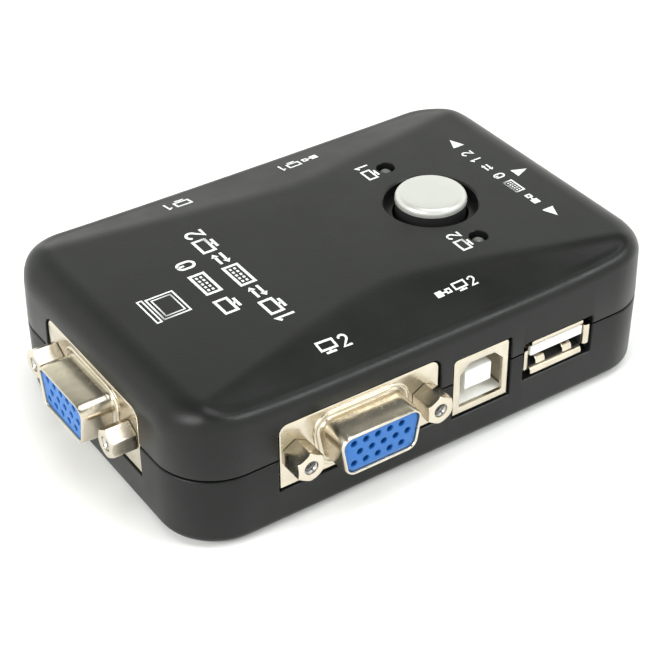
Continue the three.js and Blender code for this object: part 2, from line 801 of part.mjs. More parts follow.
addPart('video_switch_chip_1', chip(10.2, 4.0, 8), finish.black, kvmSwitch, -22, 9);
addPart('video_switch_chip_2', chip(10.2, 4.0, 8), finish.black, kvmSwitch, -22, -9);
addPart('usb_switch_chip', chip(12.6, 6.0, 10), finish.black, kvmSwitch, -2, 0);
addPart('clock_crystal', crystal(), finish.steel, kvmSwitch, 7, 8);
addPart('smoothing_capacitor_1', capacitor(), finish.black, kvmSwitch, 8, -9);
addPart('smoothing_capacitor_2', capacitor(), finish.black, kvmSwitch, 32, 12);

// The feet stand on z = 0, and the metal shell that sticks out of one end is counted in the length.
const endReach = vga.reach - portRecess;
kvmSwitch.position.set(endReach / 2, 0, shell.bottom + foot.stands);

export default kvmSwitch;
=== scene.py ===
"""Looks for a two-computer desktop switch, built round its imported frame.

Shapes are worked out in millimetres, in the frame's own axes, and scaled to metres when they are finished.
+X runs from the monitor socket to the keyboard and mouse socket, and computer 2's sockets face -Y.
"""

import math

import bmesh
import bpy
from mathutils import Matrix, Vector

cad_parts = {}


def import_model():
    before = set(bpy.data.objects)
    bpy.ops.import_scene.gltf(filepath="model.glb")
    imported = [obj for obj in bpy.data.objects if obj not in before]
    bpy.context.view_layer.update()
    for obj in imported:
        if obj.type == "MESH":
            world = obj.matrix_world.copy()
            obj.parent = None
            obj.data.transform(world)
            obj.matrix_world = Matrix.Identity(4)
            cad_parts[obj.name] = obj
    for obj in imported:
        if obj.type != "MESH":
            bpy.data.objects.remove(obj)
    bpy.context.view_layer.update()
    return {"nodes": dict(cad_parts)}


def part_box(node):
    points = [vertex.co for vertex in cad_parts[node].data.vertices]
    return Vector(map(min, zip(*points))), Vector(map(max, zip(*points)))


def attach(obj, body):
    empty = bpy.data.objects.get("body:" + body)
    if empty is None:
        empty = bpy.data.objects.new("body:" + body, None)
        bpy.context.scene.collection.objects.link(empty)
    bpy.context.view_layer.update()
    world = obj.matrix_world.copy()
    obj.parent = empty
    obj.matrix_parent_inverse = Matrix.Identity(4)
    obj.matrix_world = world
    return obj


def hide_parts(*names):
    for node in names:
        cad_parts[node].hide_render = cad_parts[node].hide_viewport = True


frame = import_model()

MM = 0.001


def box(node):
    low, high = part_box(node)
    return low / MM, high / MM


# ---------- sizes ----------

cover_low, cover_high = box("top_cover")
base_low, _ = box("bottom_cover")
button_low, button_high = box("button_cap")

LENGTH = cover_high.x - cover_low.x
WIDTH = cover_high.y - cover_low.y
MIDDLE = (cover_high.x + cover_low.x) / 2
TOP = cover_high.z
UNDERSIDE = base_low.z
PARTING = UNDERSIDE + 13.2
CORNER = 10.5
WALL = 2.0
DRAFT = 0.15
SEAM = 0.3
SEAM_EDGE = 0.35
END_EDGE = 5.5
SIDE_EDGE = 2.6
BOTTOM_EDGE = 1.5

# The flat top has a waist. Outside it the shoulders fall away to the long sides, a little sooner on one side.
# Each waist is its half width, its place along the case, how fast it spreads and how softly it bends.
WAISTS = {-1: (16.0, -0.5, 0.34, 8.5), 1: (18.2, 4.0, 0.16, 3.0)}
RAISED = (84.0, 33.2)
SHOULDER_DROPS = {-1: 2.1, 1: 1.5}
SHOULDER_REACH = 4.2
CREASE = 1.3

BUTTON_X = (button_low.x + button_high.x) / 2
BUTTON_TOP = button_high.z
BUTTON_RADIUS = 6.4
DISH_RADIUS = 8.4
DISH_HOLE = 6.8
DISH_FLOOR = PARTING + 10.6
COLLAR = 10.2
LAMP_Y = 13.7
LAMP_HOLE = 1.7

board_low, board_high = box("circuit_board")
BOARD_TOP = board_high.z
BOARD_UNDER = board_low.z
BOSS = (39.0, 23.0)
BOSS_RADIUS = 3.0
SCREW_BORE = 1.6
SCREW_SEAT = PARTING - 10.8
FOOT = (27.0, 25.0)
FOOT_RADIUS = 4.5


# ---------- outlines ----------

class Outline:
    """A convex outline with rounded corners, which can be drawn in or out by any amount."""

    def __init__(self, corners, radii, arc=8, spacing=None):
        corners = [Vector(c) for c in corners]
        count = len(corners)
        normals = []
        for index, corner in enumerate(corners):
            edge = (corners[(index + 1) % count] - corner).normalized()
            normals.append(Vector((edge.y, -edge.x)))
        self.stations = []
        arcs = []
        for index, corner in enumerate(corners):
            before, after = normals[index - 1], normals[index]
            mitre = (before + after) / (1 + before.dot(after))
            centre = corner - mitre * radii[index]
            start = math.atan2(before.y, before.x)
            sweep = math.atan2(before.cross(after), before.dot(after))
            turned = [start + sweep * step / arc for step in range(arc + 1)]
            arcs.append([
                (centre, Vector((math.cos(a), math.sin(a))), radii[index], mitre) for a in turned
            ])
        for index, stations in enumerate(arcs):
            self.stations.extend(stations)
            centre, normal, radius, _ = stations[-1]
            next_centre, _, next_radius, _ = arcs[(index + 1) % count][0]
            length = (next_centre - centre).length
            steps = max(1, round(length / spacing)) if spacing else 1
            for step in range(1, steps):
                share = step / steps
                place = centre.lerp(next_centre, share)
                self.stations.append((place, normal, radius + (next_radius - radius) * share, normal))

    def point(self, station, grow=0.0):
        centre, normal, radius, mitre = station
        reach = radius + grow
        return centre + (normal if reach >= 0 else mitre) * reach

    def points(self, grow=0.0):
        return [self.point(station, grow) for station in self.stations]


def rectangle(width, height, upper, lower=None, arc=8, spacing=None):
    x, y = width / 2, height / 2
    lower = upper if lower is None else lower
    corners = [(-x, -y), (x, -y), (x, y), (-x, y)]
    return Outline(corners, [lower, lower, upper, upper], arc, spacing)


def circle(radius, sides=48):
    turn = 2 * math.pi / sides
    return [Vector((radius * math.cos(i * turn), radius * math.sin(i * turn))) for i in range(sides)]


# ---------- meshes ----------

def new_object(name, verts, faces):
    mesh = bpy.data.meshes.new(name)
    mesh.from_pydata([tuple(v) for v in verts], [], faces)
    obj = bpy.data.objects.new(name, mesh)
    bpy.context.scene.collection.objects.link(obj)
    work = bmesh.new()
    work.from_mesh(mesh)
    bmesh.ops.remove_doubles(work, verts=work.verts, dist=1e-5)
    bmesh.ops.dissolve_degenerate(work, edges=work.edges, dist=1e-6)
    bmesh.ops.recalc_face_normals(work, faces=work.faces)
    work.to_mesh(mesh)
    work.free()
    return obj


def loft(name, rings, start=True, end=True, loop=False):
    """A skin through rings of points. start and end say whether those rings are capped."""
    count = len(rings[0])
    verts = [point for ring in rings for point in ring]
    faces = []
    levels = len(rings) if loop else len(rings) - 1
    for level in range(levels):
        low, high = level * count, (level + 1) % len(rings) * count
        for index in range(count):
            after = (index + 1) % count
            faces.append((low + index, low + after, high + after, high + index))
    if start and not loop:
        faces.append(tuple(range(count - 1, -1, -1)))
    if end and not loop:
        last = (len(rings) - 1) * count
        faces.append(tuple(range(last, last + count)))
    return new_object(name, verts, faces)


def stack(name, sections, x=0.0, y=0.0):
    """Level sections standing on each other: each is a list of points and a height."""
    return loft(name, [[(x + p[0], y + p[1], z) for p in points] for points, z in sections])


def post(name, x, y, radius, low, high, sides=48):
    return stack(name, [(circle(radius, sides), low), (circle(radius, sides), high)], x, y)


def turned(name, profile, x=0.0, y=0.0, sides=64):
    """A turned piece. Its profile runs from one point on the axis to another."""
    rings = [[(x + p[0], y + p[1], z) for p in circle(radius, sides)] for radius, z in profile]
    return loft(name, rings, start=False, end=False)


def quarter(steps):
    return [math.pi / 2 * step / steps for step in range(steps + 1)]


def rounded_profile(radius, low, high, soft, steps=6):
    """A turned disc's profile with softened rims, from the axis below to the axis above."""
    lower = [(radius - soft * (1 - math.sin(a)), low + soft * (1 - math.cos(a))) for a in quarter(steps)]
    upper = [(radius - soft * (1 - math.cos(a)), high - soft * (1 - math.sin(a))) for a in quarter(steps)]
    return [(0, low), *lower, *upper, (0, high)]


def band(path, width):
    """The two sides of a line of even width with mitred corners."""
    points = [Vector(p) for p in path]
    left, right = [], []
    for index, point in enumerate(points):
        ways = []
        if index:
            ways.append((point - points[index - 1]).normalized())
        if index + 1 < len(points):
            ways.append((points[index + 1] - point).normalized())
        mitre = sum((Vector((-way.y, way.x)) for way in ways), Vector((0, 0))) / len(ways)
        offset = mitre * (width / 2 / max(0.25, mitre.length_squared))
        left.append(point + offset)
        right.append(point - offset)
    return left, right


def remove(obj):
    bpy.data.objects.remove(obj)


def apply_modifiers(obj):
    graph = bpy.context.evaluated_depsgraph_get()
    mesh = bpy.data.meshes.new_from_object(obj.evaluated_get(graph))
    obj.modifiers.clear()
    obj.data = mesh


def combine(obj, others, operation):
    for other in others:
        step = obj.modifiers.new(operation.lower(), "BOOLEAN")
        step.operation = operation
        step.solver = "EXACT"
        step.object = other
    apply_modifiers(obj)
    for other in others:
        remove(other)
    return obj


def cut(obj, *others):
    return combine(obj, others, "DIFFERENCE")


def join(obj, *others):
    return combine(obj, others, "UNION")


def gather(name, pieces):
    """Several separate shells as one object."""
    work = bmesh.new()
    for piece in pieces:
        work.from_mesh(piece.data)
        remove(piece)
    mesh = bpy.data.meshes.new(name)
    work.to_mesh(mesh)
    work.free()
    obj = bpy.data.objects.new(name, mesh)
    bpy.context.scene.collection.objects.link(obj)
    return obj


def finished(obj, slot, *nodes, body="case", sharp=32):
    mesh = obj.data
    mesh.transform(Matrix.Scale(MM, 4))
    mesh.materials.clear()
    mesh.materials.append(MATERIALS[slot])
    mesh.shade_smooth()
    mesh.set_sharp_from_angle(angle=math.radians(sharp))
    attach(obj, body)
    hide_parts(*nodes)
    return obj


# ---------- materials ----------

def finish_of(name, dark, light, roughness, metallic=0.0, blotch=60.0, spread=0.04,
              grain=2500.0, relief=0.01, waves=None, stretch=(1, 1, 1), **sockets):
    """A finish with blotches of tone and roughness, and a fine relief. Scales are per metre, relief in mm."""
    material = bpy.data.materials.new(name)
    material.use_nodes = True
    nodes, links = material.node_tree.nodes, material.node_tree.links
    shader = nodes["Principled BSDF"]
    shader.inputs["Metallic"].default_value = metallic
    for socket, value in sockets.items():
        shader.inputs[socket.replace("_", " ")].default_value = value
    place = nodes.new("ShaderNodeTexCoord").outputs["Object"]
    mapping = nodes.new("ShaderNodeMapping")
    mapping.inputs["Scale"].default_value = stretch
    links.new(place, mapping.inputs["Vector"])

    def noise(scale, detail):
        texture = nodes.new("ShaderNodeTexNoise")
        texture.inputs["Scale"].default_value = scale
        texture.inputs["Detail"].default_value = detail
        links.new(mapping.outputs["Vector"], texture.inputs["Vector"])
        return texture.outputs["Fac"]

    tone = noise(blotch, 4.0)
    ramp = nodes.new("ShaderNodeValToRGB")
    ramp.color_ramp.elements[0].position = 0.3
    ramp.color_ramp.elements[1].position = 0.7
    ramp.color_ramp.elements[0].color = (*dark, 1)
    ramp.color_ramp.elements[1].color = (*light, 1)
    links.new(tone, ramp.inputs["Fac"])
    links.new(ramp.outputs["Color"], shader.inputs["Base Color"])
    gloss = nodes.new("ShaderNodeMapRange")
    gloss.inputs["From Min"].default_value = 0.3
    gloss.inputs["From Max"].default_value = 0.7
    gloss.inputs["To Min"].default_value = roughness - spread
    gloss.inputs["To Max"].default_value = roughness + spread
    links.new(noise(blotch * 2.7, 3.0), gloss.inputs["Value"])
    links.new(gloss.outputs["Result"], shader.inputs["Roughness"])
    bump = nodes.new("ShaderNodeBump")
    bump.inputs["Distance"].default_value = relief * MM
    links.new(noise(grain, 3.0), bump.inputs["Height"])
    if waves:
        wave_scale, wave_relief = waves
        wavy = nodes.new("ShaderNodeBump")
        wavy.inputs["Distance"].default_value = wave_relief * MM
        links.new(noise(wave_scale, 1.0), wavy.inputs["Height"])
        links.new(wavy.outputs["Normal"], bump.inputs["Normal"])
    links.new(bump.outputs["Normal"], shader.inputs["Normal"])
    return material


MATERIALS = {
    "case_plastic": finish_of("case_plastic", (0.0062, 0.0069, 0.0065), (0.0088, 0.0097, 0.0092), 0.34,
                              grain=2600, relief=0.02, Specular_IOR_Level=0.24),
    "button_plastic": finish_of("button_plastic", (0.55, 0.555, 0.53), (0.62, 0.625, 0.60), 0.36,
                                metallic=0.5, grain=5200, relief=0.006),
    "socket_metal": finish_of("socket_metal", (0.58, 0.525, 0.425), (0.70, 0.64, 0.53), 0.24,
                              metallic=1.0, blotch=220, spread=0.04, grain=1500, relief=0.003,
                              waves=(260, 0.05)),
    "connector_blue": finish_of("connector_blue", (0.009, 0.112, 0.38), (0.014, 0.142, 0.46), 0.40,
                                grain=3000, relief=0.006),
    "connector_white": finish_of("connector_white", (0.80, 0.80, 0.77), (0.88, 0.88, 0.86), 0.42,
                                 grain=2600, relief=0.006),
    "black_plastic": finish_of("black_plastic", (0.012, 0.012, 0.013), (0.022, 0.022, 0.023), 0.5,
                               grain=3000, relief=0.012),
    "circuit_board": finish_of("circuit_board", (0.010, 0.085, 0.032), (0.016, 0.125, 0.048), 0.36,
                               blotch=300, grain=900, relief=0.012),
    "foot_rubber": finish_of("foot_rubber", (0.010, 0.010, 0.010), (0.022, 0.022, 0.022), 0.82,
                             grain=1800, relief=0.05),
    "screw_steel": finish_of("screw_steel", (0.42, 0.42, 0.43), (0.58, 0.58, 0.58), 0.28,
                             metallic=1.0, blotch=400, grain=1800, relief=0.008),
    "lamp_lens": finish_of("lamp_lens", (0.11, 0.115, 0.105), (0.16, 0.165, 0.155), 0.28,
                           blotch=300, grain=1500, relief=0.004, Transmission_Weight=0.15, IOR=1.5),
    "contact_gold": finish_of("contact_gold", (0.80, 0.56, 0.22), (0.92, 0.68, 0.30), 0.22,
                              metallic=1.0, blotch=500, grain=2500, relief=0.004),
    "print_white": finish_of("print_white", (0.70, 0.71, 0.70), (0.80, 0.81, 0.80), 0.55,
                             blotch=900, grain=4000, relief=0.01),
}


# ---------- the case ----------

case_outline = rectangle(LENGTH, WIDTH, CORNER, arc=18, spacing=1.1)


def core(inset, low, high):
    outline = rectangle(LENGTH - 2 * inset, WIDTH - 2 * inset, CORNER - inset)
    return stack("core", [(outline.points(), low), (outline.points(), high)], MIDDLE)


def flat_half(x, side):
    """Half the flat top's width at a place along the case, on one side."""
    waist, middle, spread, bend = WAISTS[side]
    return waist + spread * (math.hypot(x - MIDDLE - middle, bend) - bend)


def shoulder_edge(x):
    """Where the shoulder ends, just inside the rounded edge of the long side."""
    inset = DRAFT + SIDE_EDGE
    radius = CORNER - inset
    past = abs(x - MIDDLE) - (LENGTH / 2 - CORNER)
    straight = WIDTH / 2 - CORNER
    if past <= 0:
        return straight + radius
    return straight + math.sqrt(max(0.0, radius * radius - past * past))


def shoulder_fall(x, side):
    width = shoulder_edge(x) - flat_half(x, side)
    return SHOULDER_DROPS[side] * math.tanh(max(0.0, width) / SHOULDER_REACH)


def side_of(y):
    return 1 if y > 0 else -1


def top_height(x, y):
    """The height of the top's surface: flat, then a soft crease, then the sloping shoulder."""
    flat = flat_half(x, side_of(y))
    width = shoulder_edge(x) - flat
    past = abs(y) - flat
    if width <= 0 or past <= -CREASE:
        return TOP
    run = (past + CREASE) ** 2 / (4 * CREASE) if past < CREASE else past
    return TOP - shoulder_fall(x, side_of(y)) * min(1.0, run / width)


def rim_ring(angle):
    """The rounded top edge, at an angle from the wall to the top. It is rounder at the ends."""
    ring = []
    for station in case_outline.stations:
        normal = station[1]
        radius = SIDE_EDGE + (END_EDGE - SIDE_EDGE) * normal.x ** 2
        edge = case_outline.point(station, -DRAFT - radius)
        height = top_height(edge.x + MIDDLE, edge.y) - radius * (1 - math.sin(angle))
        point = case_outline.point(station, -DRAFT - radius * (1 - math.cos(angle)))
        ring.append(Vector((point.x + MIDDLE, point.y, height)))
    return ring


def case_ring(inset, z):
    return [Vector((p.x + MIDDLE, p.y, z)) for p in case_outline.points(-inset)]


def top_skin():
    """The top cover's outside: up from the seam, over the edge and in to a line along the middle."""
    seam = PARTING + SEAM / 2
    rings = []
    for angle in quarter(3):
        rings.append(case_ring(SEAM_EDGE * (1 - math.sin(angle)), seam + SEAM_EDGE * (1 - math.cos(angle))))
    rings += [rim_ring(angle) for angle in quarter(8)]
    edge = rings[-1]
    spine = LENGTH / 2 - WIDTH / 2
    steps = 46
    for step in range(1, steps + 1):
        ring = []
        for point in edge:
            along = max(-spine, min(spine, point.x - MIDDLE)) + MIDDLE
            flat = point.xy.lerp(Vector((along, 0)), step / steps)
            ring.append(Vector((flat.x, flat.y, top_height(flat.x, flat.y))))
        rings.append(ring)
    return loft("top_shell", rings, end=False)


def bottom_skin():
    seam = PARTING - SEAM / 2
    rings = []
    for angle in quarter(7):
        inset = DRAFT + BOTTOM_EDGE * (1 - math.sin(angle))
        rings.append(case_ring(inset, UNDERSIDE + BOTTOM_EDGE * (1 - math.cos(angle))))
    for angle in quarter(3):
        rings.append(case_ring(SEAM_EDGE * (1 - math.cos(angle)), seam - SEAM_EDGE * (1 - math.sin(angle))))
    return loft("bottom_shell", rings)


def at_corners(reach):
    return [(MIDDLE + sx * reach[0], sy * reach[1]) for sx, sy in ((-1, -1), (1, -1), (1, 1), (-1, 1))]


# ---------- ports ----------

class Port:
    """A socket's own axes: u to the right and v up as seen from outside, and depth inward."""

    def __init__(self, name, outward, reach):
        low, high = box(f"{name}_shell")
        self.name = name
        self.inward = -Vector((*outward, 0))
        self.right = self.inward.cross(Vector((0, 0, 1)))
        middle = (low + high) / 2
        half = (high - low) / 2
        front = abs(half.x * outward[0] + half.y * outward[1]) - reach
        self.origin = middle - self.inward * front

    def place(self, u, v, depth):
        return self.origin + self.right * u + Vector((0, 0, v)) + self.inward * depth

    def stack(self, name, sections, u=0.0, v=0.0, loop=False):
        rings = [[self.place(u + p[0], v + p[1], depth) for p in points] for points, depth in sections]
        return loft(name, rings, loop=loop)

    def block(self, name, width, height, front, back, u=0.0, v=0.0, soft=0.15):
        outline = rectangle(width, height, soft, arc=4)
        steps = [(-soft, front), (-soft * 0.3, front + soft * 0.3), (0, front + soft), (0, back)]
        return self.stack(name, [(outline.points(g), d) for g, d in steps], u, v)


VGA_REACH = 6.0
ports = {
    "vga": [Port("monitor_vga", (-1, 0), VGA_REACH)],
    "usb_b": [],
    "usb_a": [Port("console_usb_a", (1, 0), 0)],
}
for computer, side in ((1, 1), (2, -1)):
    ports["vga"].append(Port(f"computer_{computer}_vga", (0, side), VGA_REACH))
    ports["usb_b"].append(Port(f"computer_{computer}_usb_b", (0, side), 0))
    ports["usb_a"].append(Port(f"computer_{computer}_usb_a", (0, side), 0))

FLANGE = (30.8, 12.5)
OPENINGS = {
    "vga": rectangle(FLANGE[0] + 0.6, FLANGE[1] + 0.6, 1.9, 0.15),
    "usb_b": rectangle(12.2, 12.1, 0.5, 0.15),
    "usb_a": rectangle(15.1, 7.6, 0.5),
}
PORT_INSET = 0.3
CHAMFER = 0.22


def port_cutters():
    """Every port's opening, with a small chamfer where it breaks through the wall."""
    outside, inside = -3.0, WALL + 1.3
    steps = [(CHAMFER, outside), (CHAMFER, -PORT_INSET - 0.02), (0, CHAMFER - PORT_INSET), (0, inside)]
    return [
        port.stack("opening", [(OPENINGS[kind].points(grow), depth) for grow, depth in steps])
        for kind, members in ports.items()
        for port in members
    ]


def chamfered_hole(x, y, radius, low, high, soft, sides=64):
    """A cutter for a round hole in the top, with a small chamfer at its mouth."""
    profile = [(radius, low), (radius, high - soft), (radius + soft, high), (radius + soft, high + 2)]
    return stack("hole", [(circle(r, sides), z) for r, z in profile], x, y)


def top_cover():
    """The upper shell, with its screw bosses, the collar round the button's hole and the lamps' holes."""
    side_ceiling = TOP - 4.2
    ceiling = TOP - WALL
    body = top_skin()
    raised = rectangle(*RAISED, 4)
    cut(body, core(WALL, PARTING - 1, side_ceiling),
        stack("raised", [(raised.points(), side_ceiling - 1), (raised.points(), ceiling)], MIDDLE))
    columns = [
        post("column", x, y, BOSS_RADIUS, BOARD_TOP + 0.3, side_ceiling + 0.5, 32)
        for x, y in at_corners(BOSS)
    ]
    join(body, *columns, post("collar", BUTTON_X, 0, COLLAR, PARTING + 6, ceiling + 0.5))
    bores = [post("bore", x, y, SCREW_BORE, BOARD_TOP - 1, PARTING + 4, 24) for x, y in at_corners(BOSS)]
    lamps = [
        chamfered_hole(BUTTON_X, side * LAMP_Y, LAMP_HOLE, PARTING + 5, TOP, 0.12, 40) for side in (-1, 1)
    ]
    cut(body, *bores, *lamps, *port_cutters(),
        post("guide", BUTTON_X, 0, 8.8, PARTING + 5, PARTING + 8.4),
        post("through", BUTTON_X, 0, DISH_HOLE, PARTING + 8, TOP + 1, 72),
        chamfered_hole(BUTTON_X, 0, DISH_RADIUS, DISH_FLOOR, TOP, 0.3, 96))
    return finished(body, "case_plastic", "top_cover")


def bottom_cover():
    """The lower shell, with the lip that laps inside the seam and a counterbored post for each screw."""
    inside_floor = UNDERSIDE + WALL
    lip_outer, lip_inner = WALL + 0.3, WALL + 1.0
    body = bottom_skin()
    cut(body, core(WALL, inside_floor, PARTING + 1))
    lip_root = cut(core(WALL - 0.2, PARTING - 3, PARTING - SEAM / 2 - 0.3),
                   core(lip_inner, PARTING - 9, PARTING + 1))
    lip_wall = cut(core(lip_outer, PARTING - 2.9, PARTING + 1.4),
                   core(lip_inner, PARTING - 9, PARTING + 9))
    feet_of_posts, heads_of_posts = inside_floor - 0.5, BOARD_UNDER - 0.3
    posts = [post("post", x, y, 4.2, feet_of_posts, heads_of_posts, 32) for x, y in at_corners(BOSS)]
    join(body, lip_root, lip_wall, *posts)
    bore, chamfer = 2.9, 0.25
    holes = []
    for x, y in at_corners(BOSS):
        mouth = [(bore + chamfer, UNDERSIDE - 1), (bore + chamfer, UNDERSIDE)]
        mouth += [(bore, UNDERSIDE + chamfer), (bore, SCREW_SEAT)]
        holes.append(stack("counterbore", [(circle(r, 40), z) for r, z in mouth], x, y))
        holes.append(post("hole", x, y, SCREW_BORE + 0.1, SCREW_SEAT - 1, BOARD_TOP, 24))
    for x, y in at_corners(FOOT):
        holes.append(post("recess", x, y, FOOT_RADIUS + 0.3, UNDERSIDE - 1, UNDERSIDE + 0.6))
    cut(body, *holes, *port_cutters())
    return finished(body, "case_plastic", "bottom_cover")


def centre_of(node):
    low, high = box(node)
    return (low + high) / 2


def case_screws():
    """Pan-head screws with a tapered cross recess, seen in the underside's counterbores."""
    for number in (1, 2, 3, 4):
        node = f"case_screw_{number}"
        low, high = box(node)
        x, y = centre_of(node).xy
        head, shank, crest = 2.5, 1.1, 1.35
        crown = [(head * math.sin(a), low.z + 0.9 * (1 - math.cos(a))) for a in quarter(7)]
        under_head = SCREW_SEAT - 0.3
        thread = []
        for turn in range(12):
            z = under_head + 1.2 + turn * 0.85
            thread += [(shank, z), (crest, z + 0.4), (shank, z + 0.8)]
        profile = [*crown, (head, under_head), (shank, under_head), *thread, (0, high.z)]
        screw = turned(f"screw_{number}", profile, x, y, 40)
        slots = []
        for quarter_turn in (0, 1):
            wide, narrow = rectangle(3.0, 0.62, 0.05, arc=2), rectangle(1.5, 0.5, 0.05, arc=2)
            sections = [
                ([(p.y, p.x) if quarter_turn else (p.x, p.y) for p in outline.points()], z)
                for outline, z in ((wide, low.z - 0.5), (wide, low.z + 0.1), (narrow, low.z + 1.1))
            ]
            slots.append(stack("slot", sections, x, y))
        finished(cut(screw, *slots), "screw_steel", node)


def rubber_feet():
    """Soft discs, a little hollow where they stand."""
    for number in (1, 2, 3, 4):
        node = f"rubber_foot_{number}"
        low, high = box(node)
        x, y = centre_of(node).xy
        rim = rounded_profile(FOOT_RADIUS, low.z, high.z, 0.45)
        profile = [(0, low.z + 0.18), (2.6, low.z + 0.15), (3.3, low.z)] + rim[1:]
        finished(turned(f"foot_{number}", profile, x, y), "foot_rubber", node, sharp=50)


# ---------- push button and lamps ----------

# The cup's foot is where the silver ends, near the top's surface. The black trunk below it is painted shade
# in the dish.
CUP_LINING = BUTTON_RADIUS - 0.6
CUP_FOOT = BUTTON_TOP - 1.65
CUP_CEILING = BUTTON_TOP - 1.2


def button_cap():
    """A silver cup with a soft rim and a barely crowned face, which sits on the black trunk. The silver stops
    at the cup's foot, near the top's surface, so the black side below paints the shade down in the dish.
    """
    soft = 1.1
    shoulder = BUTTON_TOP - 0.06
    face = [(0, BUTTON_TOP), (3.5, BUTTON_TOP - 0.02)]
    for angle in quarter(8):
        face.append((BUTTON_RADIUS - soft * (1 - math.sin(angle)), shoulder - soft * (1 - math.cos(angle))))
    face += [(BUTTON_RADIUS, CUP_FOOT + 0.08), (BUTTON_RADIUS - 0.08, CUP_FOOT), (CUP_LINING, CUP_FOOT)]
    face += [(CUP_LINING, CUP_CEILING), (0, CUP_CEILING)]
    finished(turned("push_button", face, BUTTON_X, 0, 96), "button_plastic", "button_cap", body="button")


def button_trunk():
    """The black body under the cup: a hollow trunk with the flange that holds it in, and the stem. Its black
    side under the cup is painted shade, the dark of the dish round the button.
    """
    play = 0.05
    wall, flange, hollow, stem, bore = BUTTON_RADIUS - 0.12, 8.3, 5.6, 2.4, 1.9
    flange_top, flange_under = PARTING + 8.1, button_low.z + 4.3
    roof, socket_top = PARTING + 11.5, PARTING + 5.3
    seat, inside, crown = CUP_FOOT - play, CUP_LINING - play, CUP_CEILING - play
    trunk = [(0, crown), (inside, crown), (inside, seat), (wall, seat)]
    trunk += [(wall, flange_top), (flange, flange_top), (flange, flange_under), (hollow, flange_under)]
    trunk += [(hollow, roof), (stem, roof), (stem, button_low.z), (bore, button_low.z)]
    trunk += [(bore, socket_top), (0, socket_top)]
    finished(turned("button_trunk", trunk, BUTTON_X, 0, 96), "black_plastic", body="button")


def indicator_lamps():
    """Clear round lamps standing on their legs, just below the surface of the top."""
    for number in (1, 2):
        node = f"indicator_lamp_{number}"
        low, high = box(node)
        x, y = centre_of(node).xy
        crown = high.z + 0.3
        foot, ledge = crown - 3.1, crown - 2.1
        radius, rim = 1.45, 1.9
        dome = [(radius * math.cos(a), crown - radius * (1 - math.sin(a))) for a in quarter(10)]
        profile = [(0, foot), (rim, foot), (rim, ledge), (radius, ledge), *dome]
        body = turned(f"lamp_{number}", profile, x, y, 40)
        wire = rectangle(0.5, 0.5, 0.05, arc=1).points()
        legs = [
            stack("leg", [(wire, z) for z in (low.z, foot + 0.5)], x + across, y) for across in (-0.75, 0.75)
        ]
        finished(join(body, *legs), "lamp_lens", node)


# ---------- fifteen-way D sockets ----------

DEE = (16.4, 8.1)
DEE_SLOPE = math.tan(math.radians(10))
DEE_SKIN = 0.6
DEE_FACE = -5.55
SCREW_PLACES = (-12.495, 12.495)
SCREW_HOLE = 1.65
PITCH = 2.29
ROW = 1.98
HOLE = 0.58


def dee_outline():
    half_width, half_height = DEE[0] / 2, DEE[1] / 2
    foot_half = half_width - DEE[1] * DEE_SLOPE
    corners = [(-foot_half, -half_height), (foot_half, -half_height), (half_width, half_height),
               (-half_width, half_height)]
    return Outline(corners, [2.1] * 4, arc=10)


dee = dee_outline()


def dee_stack(port, name, steps, loop=False):
    return port.stack(name, [(dee.points(grow), depth) for grow, depth in steps], loop=loop)


def vga_shell(port):
    """The stamped metal front: a flange with a raised ridge, and the drawn D tube with its rolled rim."""
    flange = rectangle(*FLANGE, 1.6, 0.25)
    front = [(-0.28, 0.0), (-0.15, 0.03), (-0.06, 0.1), (0.0, 0.28), (0.0, 0.9)]
    body = port.stack(f"{port.name}_front", [(flange.points(grow), depth) for grow, depth in front])
    holes = [port.stack("hole", [(circle(SCREW_HOLE, 32), d) for d in (-1, 2)], u) for u in SCREW_PLACES]
    cut(body, dee_stack(port, "tunnel", [(-0.3, -1), (-0.3, 2)]), *holes)
    inner, rim = -DEE_SKIN, -VGA_REACH
    swell = [math.pi * step / 12 for step in range(13)]
    ridge = [(1.5, 0.45)] + [(1.14 + 0.36 * math.cos(a), -0.02 - 0.32 * math.sin(a)) for a in swell]
    tube = [(0.5, -0.04), (0.27, -0.14), (0.14, -0.34), (0.1, -0.7), (0.1, -2.2), (0.07, -3.4), (0.0, -4.6),
            (-0.1, rim + 0.5), (-0.16, rim + 0.2), (-0.24, rim + 0.05), (-0.36, rim), (-0.5, rim + 0.04),
            (-0.57, rim + 0.14), (inner, rim + 0.3), (inner, 0.45)]
    join(body, dee_stack(port, "tube", ridge + tube, loop=True))
    finished(body, "socket_metal", f"{port.name}_shell")


def contact_places():
    for row in (-1, 0, 1):
        across = PITCH / 4 if row == 0 else -PITCH / 4
        for column in range(-2, 3):
            yield column * PITCH + across, row * ROW


